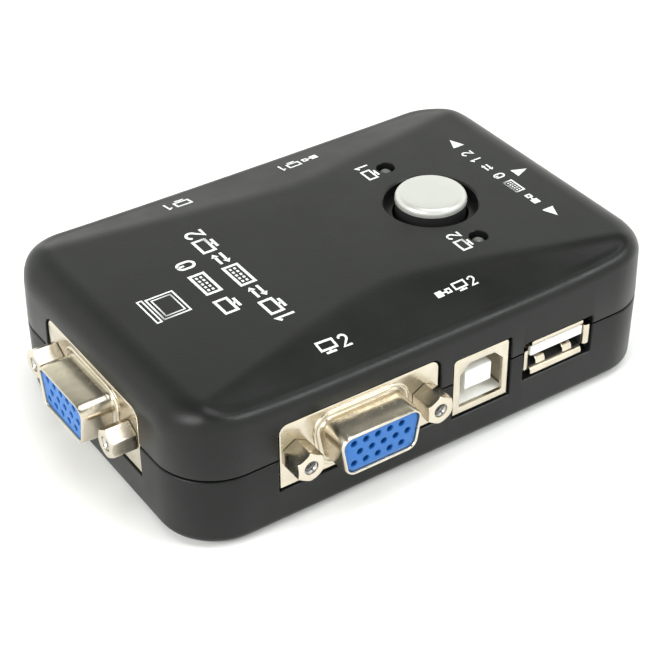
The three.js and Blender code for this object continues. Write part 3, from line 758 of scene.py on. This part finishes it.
def vga_insulator(port):
    """The blue block that fills the tube, with fifteen countersunk holes, and its housing behind."""
    grow = -DEE_SKIN - 0.06
    soft = 0.12
    steps = [(grow - soft, DEE_FACE), (grow - soft * 0.3, DEE_FACE + soft * 0.3)]
    steps += [(grow, DEE_FACE + soft), (grow, 3)]
    body = dee_stack(port, f"{port.name}_block", steps)
    low, high = box(f"{port.name}_insulator")
    base, crest = low.z - port.origin.z, high.z - port.origin.z
    flange_foot = -FLANGE[1] / 2
    width, back, sole_top = 30.2, 12.1, 6.0
    join(body,
         port.block("housing", width, crest - flange_foot, 1.1, back, 0, (crest + flange_foot) / 2),
         port.block("sole", width, sole_top - base, 3.2, back, 0, (base + sole_top) / 2))
    sinks = [(HOLE + 0.1, DEE_FACE - 1), (HOLE + 0.1, DEE_FACE)]
    sinks += [(HOLE, DEE_FACE + 0.14), (HOLE, DEE_FACE + 4)]
    holes = [
        port.stack("hole", [(circle(r, 20), d) for r, d in sinks], u, v) for u, v in contact_places()
    ]
    holes += [port.stack("hole", [(circle(SCREW_HOLE, 24), d) for d in (0.5, 6.1)], u) for u in SCREW_PLACES]
    finished(cut(body, *holes), "connector_blue", f"{port.name}_insulator")
    sleeve = [(0.46, 1.9), (0.54, 2.0), (0.54, 3.8), (0.34, 3.8), (0.34, 1.9)]
    contacts = [
        port.stack("contact", [(circle(r, 12), DEE_FACE + d) for r, d in sleeve], u, v, loop=True)
        for u, v in contact_places()
    ]
    finished(gather(f"{port.name}_contacts", contacts), "contact_gold")


def jackscrew(port, side, u):
    """A hexagonal jackscrew with a turned nose and a threaded mouth."""
    sides = 72
    flat, front, seat = 4.75 / 2, -4.6, -0.1
    bore, shank, pitch = 1.2, 1.35, 0.62

    def ring(depth, limit, hexagon):
        points = []
        for index in range(sides):
            angle = 2 * math.pi * index / sides
            spread = math.radians((index * 360 / sides) % 60 - 30)
            reach = min(limit, flat / math.cos(spread)) if hexagon else limit
            points.append(port.place(u + reach * math.sin(angle), reach * math.cos(angle), depth))
        return points

    rings = [ring(front + 7.2, 0, False), ring(front + 7.0, bore, False), ring(front + 0.3, bore, False)]
    rings += [ring(front + 0.04, bore + 0.08, False), ring(front, bore + 0.14, False)]
    for step in range(7):
        rings.append(ring(front + 0.3 * (step / 6) ** 1.6, flat - 0.16 + 0.6 * step / 6, True))
    rings += [ring(seat, 9, True), ring(seat, shank, False)]
    rings += [ring(seat + 5, shank, False), ring(seat + 5, 0, False)]
    body = loft(f"{port.name}_jack_{side}", rings, start=False, end=False)
    finished(body, "socket_metal", f"{port.name}_jackscrew_{side}")
    # The thread is a sleeve in darker steel than the jackscrew: partly oil on the thread and partly painted
    # shade in the bore.
    thread = [(1.18, front + 6.6), (1.18, front + 0.3)]
    for turn in range(10):
        thread += [(1.14, front + 0.35 + turn * pitch), (0.98, front + 0.66 + turn * pitch)]
    levels = [(circle(r, 32), depth) for r, depth in thread]
    mouth = port.stack(f"{port.name}_thread_{side}", levels, u, loop=True)
    finished(mouth, "screw_steel")


# ---------- type B sockets ----------

B_FACE = (11.6, 11.5)
B_OPENING = (8.9, 8.5)
B_BEVEL = 1.9
B_DEPTH = 16.0


def b_outline(corner=0.25):
    x, y = B_OPENING[0] / 2, B_OPENING[1] / 2
    corners = [(-x, -y), (x, -y), (x, y - B_BEVEL), (x - B_BEVEL, y), (-x + B_BEVEL, y), (-x, y - B_BEVEL)]
    return Outline(corners, [corner] * 6, arc=4)


def usb_b_shell(port):
    """The folded metal box, with a front frame whose opening is turned inward."""
    outer = rectangle(*B_FACE, 0.75, 0.3)
    front = [(-0.42, 0.0), (-0.22, 0.04), (-0.08, 0.15), (0.0, 0.4), (0.0, B_DEPTH)]
    body = port.stack(f"{port.name}_box", [(outer.points(grow), depth) for grow, depth in front])
    opening = b_outline()
    mouth = [(0.14, -1), (0.14, -0.01), (0.04, 0.05), (0.0, 0.14), (0.0, 1)]
    turned_in = [(0.28, 0.2), (0.0, 0.2), (0.0, 0.7), (0.28, 0.7)]
    cut(body, port.stack("inside", [(outer.points(-0.4), depth) for depth in (0.4, B_DEPTH + 1)]),
        port.stack("mouth", [(opening.points(grow), depth) for grow, depth in mouth]))
    join(body, port.stack("lip", [(opening.points(grow), depth) for grow, depth in turned_in], loop=True))
    finished(body, "socket_metal", f"{port.name}_shell")


def usb_b_insulator(port):
    """The white floor and back block, and the square tongue that stands in the well."""
    width, height = B_FACE[0] - 1.2, B_FACE[1] - 1.2
    floor_top = -B_OPENING[1] / 2
    floor_height = height / 2 + floor_top
    body = port.block(f"{port.name}_filling", width, height, 9.0, B_DEPTH - 0.2, soft=0.2)
    join(body,
         port.block("floor", width, floor_height, 0.74, 9.5, 0, floor_top - floor_height / 2, soft=0.1),
         port.block("tongue", 5.6, 3.8, 0.9, 9.5, soft=0.3))
    finished(body, "connector_white", f"{port.name}_insulator")
    strips = [
        port.block("strip", 1.0, 0.24, 3.2, 9.2, u, v, soft=0.05)
        for u in (-1.25, 1.25)
        for v in (-1.92, 1.92)
    ]
    finished(gather(f"{port.name}_contacts", strips), "contact_gold")


# ---------- type A sockets ----------

A_FACE = (13.2, 5.74)
A_SKIN = 0.3
A_FLARE = 0.58
A_DEPTH = 13.6


def lip(port, direction, half_length, reach):
    """One flared lip of the mouth: a bent strip along one side of the tube."""
    across = Vector((-direction.y, direction.x))
    bend = [(1.6, -0.45), (0.8, -0.45), (0.47, -0.36), (0.27, -0.14)]
    bend += [(0.17, 0.15), (0.16, 0.4), (0.22, A_FLARE)]
    outer, inner = band(bend, 0.28)
    full = half_length - 0.25
    rings = []
    for along, inset in ((-half_length, 0.2), (-full, 0), (full, 0), (half_length, 0.2)):
        ring = []
        for depth, rise in outer + inner[::-1]:
            point = direction * (reach + min(rise, A_FLARE - inset)) + across * along
            ring.append(port.place(point.x, point.y, max(depth, 0.02 + inset * 0.4)))
        rings.append(ring)
    return loft("lip", rings)


def spring_finger(port, u, half_width=1.0):
    """A strip of the shell's floor, cut free and bent up into the mouth to grip the plug."""
    wall = -A_FACE[1] / 2 + 2 * A_SKIN
    path = [(6.0, -0.15), (4.6, 0.2), (3.2, 0.75), (2.1, 1.15)]
    path += [(1.5, 1.25), (1.1, 1.1), (0.85, 0.75), (0.75, 0.1)]
    left, right = band(path, 0.22)
    full = half_width - 0.1
    rings = []
    for across, trim in ((-half_width, 0.1), (-full, 0), (full, 0), (half_width, 0.1)):
        profile = left + right[::-1]
        rings.append([port.place(u + across, wall + p.y - trim * 0.4, p.x + trim) for p in profile])
    return loft("finger", rings)


def usb_a_shell(port):
    """The folded tube with four flared lips and two spring fingers from its floor, and a black sheet just
    inside it that paints the shade deep in the socket.
    """
    outer = rectangle(*A_FACE, 0.7)
    tube = [(-A_SKIN, A_DEPTH), (-A_SKIN, 1.3), (-2 * A_SKIN, 1.3), (-2 * A_SKIN, A_DEPTH)]
    body = port.stack(f"{port.name}_tube", [(outer.points(grow), depth) for grow, depth in tube], loop=True)
    half_width, half_height = A_FACE[0] / 2, A_FACE[1] / 2
    lips = [lip(port, Vector((0, side)), half_width - 1.0, half_height) for side in (-1, 1)]
    lips += [lip(port, Vector((side, 0)), half_height - 0.9, half_width) for side in (-1, 1)]
    join(body, *lips, *(spring_finger(port, u) for u in (-2.95, 2.95)))
    finished(body, "socket_metal", f"{port.name}_shell")
    # The black sheet just inside the tube is painted shade: the metal in there is dark only because little
    # light reaches it.
    near, far = -2 * A_SKIN - 0.03, -2 * A_SKIN - 0.15
    painted_shade_sheet = [(outer.points(grow), d) for grow, d in ((near, 0.75), (near, 9.0), (far, 9.0), (far, 0.75))]
    finished(port.stack(f"{port.name}_lining", painted_shade_sheet, loop=True), "black_plastic")


def usb_a_insulator(port):
    """The white tongue near the top of the mouth, and the block behind it that stands on the board."""
    low, high = box(f"{port.name}_insulator")
    base = low.z - port.origin.z
    crest = high.z - port.origin.z
    tongue_v, tongue_height = 1.3, 1.85
    body = port.block(f"{port.name}_plug", A_FACE[0] - 1.5, A_FACE[1] - 1.5, 9.2, A_DEPTH + 1.5)
    half = A_FACE[1] / 2 + 0.3
    join(body,
         port.block("tongue", 11.3, tongue_height, 0.3, 9.6, 0, tongue_v),
         port.block("heel", A_FACE[0], crest - base, A_DEPTH + 0.2, A_DEPTH + 1.5, 0, (crest + base) / 2),
         port.block("sole", A_FACE[0], -half - base, WALL + 0.3, A_DEPTH + 1, 0, (base - half) / 2))
    finished(body, "connector_white", f"{port.name}_insulator")
    under = tongue_v - tongue_height / 2
    strips = [port.block("strip", 1.0, 0.24, 1.5, 9.0, u, under, soft=0.05) for u in (-3.5, -1.0, 1.0, 3.5)]
    finished(gather(f"{port.name}_contacts", strips), "contact_gold")


# ---------- printed marks ----------

PRINT_RISE = 0.03
PRINT_ROOT = 0.05


class Marks:
    """Flat printed shapes collected in one mesh, laid on the top's surface."""

    def __init__(self, name):
        self.name = name
        self.verts = []
        self.faces = []
        self.set(0, 0, 0, 1)

    def set(self, x, y, turn, size):
        """Where the next marks go: the middle, the reader's turn in degrees, and a character's height."""
        self.x, self.y, self.size = x, y, size
        self.right = Vector((math.cos(math.radians(turn)), math.sin(math.radians(turn))))

    def spot(self, a, b):
        up = Vector((-self.right.y, self.right.x))
        return Vector((self.x, self.y)) + (self.right * a + up * b) * self.size

    def fill(self, outline):
        """A filled convex shape."""
        first = len(self.verts)
        count = len(outline)
        for rise in (PRINT_RISE, -PRINT_ROOT):
            for a, b in outline:
                p = self.spot(a, b)
                self.verts.append((p.x, p.y, top_height(p.x, p.y) + rise))
        self.faces.append(tuple(range(first, first + count)))
        self.faces.append(tuple(range(first + 2 * count - 1, first + count - 1, -1)))
        for index in range(count):
            after = (index + 1) % count
            self.faces.append((first + index, first + count + index, first + count + after, first + after))

    def stroke(self, path, width, closed=False):
        """A line of even width. A closed one runs on past its start, which mitres its first corner too."""
        points = [*path, *path[:2]] if closed else path
        left, right = band(points, width)
        if closed:
            left[0], right[0] = left[-2], right[-2]
        for index in range(len(path) if closed else len(path) - 1):
            self.fill([right[index], right[index + 1], left[index + 1], left[index]])

    def done(self):
        obj = new_object(self.name, self.verts, self.faces)
        finished(obj, "print_white", sharp=40)


def arc_points(cx, cy, radius, start, end, steps=8):
    angles = [math.radians(start + (end - start) * step / steps) for step in range(steps + 1)]
    return [(cx + radius * math.cos(a), cy + radius * math.sin(a)) for a in angles]


LINE = 0.15


def frame_path(x, width, low, high):
    return [(x, low), (x + width, low), (x + width, high), (x, high)]


def draw_one(marks, x):
    marks.stroke([(x + 0.05, 0.28), (x + 0.3, 0.46), (x + 0.3, -0.5)], LINE)
    return 0.45


def draw_two(marks, x):
    path = arc_points(x + 0.3, 0.2, 0.25, 170, -40) + [(x + 0.05, -0.44), (x + 0.6, -0.44)]
    marks.stroke(path, LINE)
    return 0.62


def draw_screen(marks, x):
    marks.stroke(frame_path(x + 0.06, 1.08, -0.2, 0.44), LINE, closed=True)
    marks.stroke([(x + 0.6, -0.24), (x + 0.6, -0.42)], LINE)
    marks.stroke([(x + 0.25, -0.46), (x + 0.95, -0.46)], LINE)
    return 1.2


def draw_keyboard(marks, x):
    marks.stroke(frame_path(x + 0.06, 1.68, -0.38, 0.38), LINE, closed=True)
    for row in (-0.16, 0.08):
        for key in range(5):
            left = x + 0.26 + key * 0.28
            marks.fill(frame_path(left, 0.16, row, row + 0.12))
    return 1.8


def draw_mouse(marks, x):
    path = arc_points(x + 0.33, 0.17, 0.27, 0, 180) + arc_points(x + 0.33, -0.17, 0.27, 180, 360)
    marks.stroke(path, LINE, closed=True)
    marks.stroke([(x + 0.33, 0.4), (x + 0.33, 0.08)], LINE * 0.8)
    return 0.66


def draw_plug(marks, x):
    marks.fill(frame_path(x + 0.1, 0.62, -0.32, 0.32))
    marks.stroke([(x + 0.72, 0.0), (x + 1.1, 0.0)], LINE)
    marks.stroke(frame_path(x + 1.1, 0.36, -0.2, 0.2), LINE, closed=True)
    return 1.56


def draw_swap(marks, x):
    for way, b in ((1, 0.2), (-1, -0.2)):
        tip = x + 0.55 + way * 0.5
        marks.stroke([(x + 0.55 - way * 0.45, b), (tip - way * 0.25, b)], LINE)
        marks.fill([(tip, b), (tip - way * 0.3, b + 0.2), (tip - way * 0.3, b - 0.2)][::way])
    return 1.1


def draw_row(marks, x, y, turn, size, icons, space=0.28):
    """A centred row of small pictures."""
    trial = Marks("trial")
    total = sum(icon(trial, 0) for icon in icons) + space * (len(icons) - 1)
    marks.set(x, y, turn, size)
    at = -total / 2
    for icon in icons:
        at += icon(marks, at) + space


NEAR, FAR, FROM_KEYS, FROM_SCREEN = 0, 180, 90, -90


def print_marks():
    arrows = Marks("print_arrows")
    for x, y, turn in ((39.0, 12.9, 0), (42.35, -1.15, -90), (38.9, -14.4, 180)):
        arrows.set(x, y, turn, 2.8)
        arrows.fill([(-0.42, -0.3), (0.42, -0.3), (0.0, 0.7)])
    arrows.done()

    emblem = Marks("print_screen_emblem")
    emblem.set(-31.3, -1.35, FROM_SCREEN, 6.3)
    emblem.stroke(frame_path(-0.5, 1.0, -0.26, 0.52), 0.05, closed=True)
    emblem.stroke(frame_path(-0.39, 0.78, -0.15, 0.41), 0.04, closed=True)
    emblem.stroke(frame_path(-0.54, 1.08, -0.49, -0.36), 0.045, closed=True)
    emblem.done()

    rows = Marks("print_middle_rows")
    draw_row(rows, -22.4, -0.45, FROM_KEYS, 3.5, [draw_screen, draw_keyboard, draw_mouse], 0.6)
    draw_row(rows, -16.4, -0.15, FROM_KEYS, 3.5,
             [draw_one, draw_screen, draw_swap, draw_keyboard, draw_swap, draw_screen, draw_two], 0.22)
    rows.done()

    labels = Marks("print_port_labels")
    draw_row(labels, -13.45, -24.15, NEAR, 2.7, [draw_screen, draw_two])
    draw_row(labels, 11.75, -22.75, NEAR, 2.1, [draw_plug, draw_screen, draw_two])
    draw_row(labels, -13.2, 25.6, FAR, 2.6, [draw_screen, draw_one])
    draw_row(labels, 12.5, 25.6, FAR, 2.2, [draw_plug, draw_screen, draw_one])
    draw_row(labels, 38.7, -0.8, FROM_KEYS, 2.2,
             [draw_plug, draw_keyboard, draw_mouse, draw_swap, draw_one, draw_two], 0.7)
    labels.done()

    lamps = Marks("print_lamp_numbers")
    draw_row(lamps, BUTTON_X - 3.6, LAMP_Y + 0.45, FROM_KEYS, 2.6, [draw_screen, draw_one])
    draw_row(lamps, BUTTON_X - 3.6, -LAMP_Y + 0.45, FROM_KEYS, 2.6, [draw_screen, draw_two])
    lamps.done()


# ---------- the CAD nodes that stay ----------

KEPT = {
    "circuit_board": "circuit_board",
    "switch_body": "black_plastic",
    "switch_plunger": "connector_white",
    "return_spring": "screw_steel",
    "lamp_riser_1": "black_plastic",
    "lamp_riser_2": "black_plastic",
    "video_switch_chip_1": "black_plastic",
    "video_switch_chip_2": "black_plastic",
    "usb_switch_chip": "black_plastic",
    "clock_crystal": "screw_steel",
    "smoothing_capacitor_1": "black_plastic",
    "smoothing_capacitor_2": "black_plastic",
}


def repaint_kept_nodes():
    for node, slot in KEPT.items():
        materials = frame["nodes"][node].data.materials
        materials.clear()
        materials.append(MATERIALS[slot])


# ---------- floor, light and camera ----------

def floor():
    half = 1500.0
    corners = [(-half, -half, 0), (half, -half, 0), (half, half, 0), (-half, half, 0)]
    obj = new_object("floor", corners, [(0, 1, 2, 3)])
    obj.data.transform(Matrix.Scale(MM, 4))
    obj.data.materials.append(finish_of("floor_white", (0.90, 0.90, 0.90), (0.93, 0.93, 0.93), 0.6, blotch=3))


def softbox(name, place, target, size, power, colour=(1, 1, 1)):
    data = bpy.data.lights.new(name, "AREA")
    data.shape = "RECTANGLE"
    data.size, data.size_y = size
    data.energy = power
    data.color = colour
    obj = bpy.data.objects.new(name, data)
    bpy.context.scene.collection.objects.link(obj)
    obj.location = place
    obj.rotation_euler = (Vector(target) - Vector(place)).to_track_quat("-Z", "Y").to_euler()


def world():
    """A pale room: bright from below the horizon to half way up, and dark overhead."""
    sky = bpy.data.worlds.new("studio")
    bpy.context.scene.world = sky
    sky.use_nodes = True
    nodes, links = sky.node_tree.nodes, sky.node_tree.links
    direction = nodes.new("ShaderNodeTexCoord").outputs["Generated"]
    parts = nodes.new("ShaderNodeSeparateXYZ")
    ramp = nodes.new("ShaderNodeValToRGB")
    stops = ramp.color_ramp.elements
    stops[0].color = (0.88, 0.88, 0.88, 1)
    stops[1].color = (0.10, 0.10, 0.09, 1)
    for position, level in ((0.42, 1.0), (0.55, 0.95), (0.69, 0.40), (0.76, 0.16)):
        stop = stops.new(position)
        stop.color = (level * 0.98, level, level * 0.92, 1)
    links.new(direction, parts.inputs["Vector"])
    links.new(parts.outputs["Z"], ramp.inputs["Fac"])
    links.new(ramp.outputs["Color"], nodes["Background"].inputs["Color"])
    nodes["Background"].inputs["Strength"].default_value = 1.5


def lights():
    world()
    softbox("key", (0.5, -0.62, 0.75), (0, 0, 0), (0.32, 0.32), 3.8, (0.95, 0.98, 1.0))
    softbox("fill", (-0.95, -0.15, 0.6), (-0.05, 0, 0), (0.6, 0.5), 8.0)
    softbox("top", (0.1, -0.1, 1.1), (0, 0, 0), (0.7, 0.7), 6.0)


def camera():
    """The viewpoint: in front of the near left corner, looking down at the middle of the case."""
    yaw, pitch, roll = math.radians(33.732), math.radians(36.19), math.radians(-0.475)
    target = Vector((-2.885, -6.834, 14.15)) * MM
    distance = 308.0 * MM
    ahead = Vector((math.cos(pitch) * math.sin(yaw), math.cos(pitch) * math.cos(yaw), -math.sin(pitch)))
    data = bpy.data.cameras.new("camera")
    data.lens = 98.5
    data.sensor_width = 36.0
    data.clip_start, data.clip_end = 0.01, 20.0
    obj = bpy.data.objects.new("camera", data)
    bpy.context.scene.collection.objects.link(obj)
    obj.location = target - ahead * distance
    level = ahead.to_track_quat("-Z", "Y").to_matrix()
    obj.rotation_euler = (level @ Matrix.Rotation(roll, 3, "Z")).to_euler()
    bpy.context.scene.camera = obj
    bpy.context.scene.view_settings.view_transform = "Standard"


# ---------- assembly ----------

camera()
lights()
floor()
top_cover()
bottom_cover()
case_screws()
rubber_feet()
button_cap()
button_trunk()
indicator_lamps()
for socket in ports["vga"]:
    vga_shell(socket)
    vga_insulator(socket)
    for side_name, across in zip(("left", "right"), SCREW_PLACES):
        jackscrew(socket, side_name, across)
for socket in ports["usb_b"]:
    usb_b_shell(socket)
    usb_b_insulator(socket)
for socket in ports["usb_a"]:
    usb_a_shell(socket)
    usb_a_insulator(socket)
print_marks()
repaint_kept_nodes()
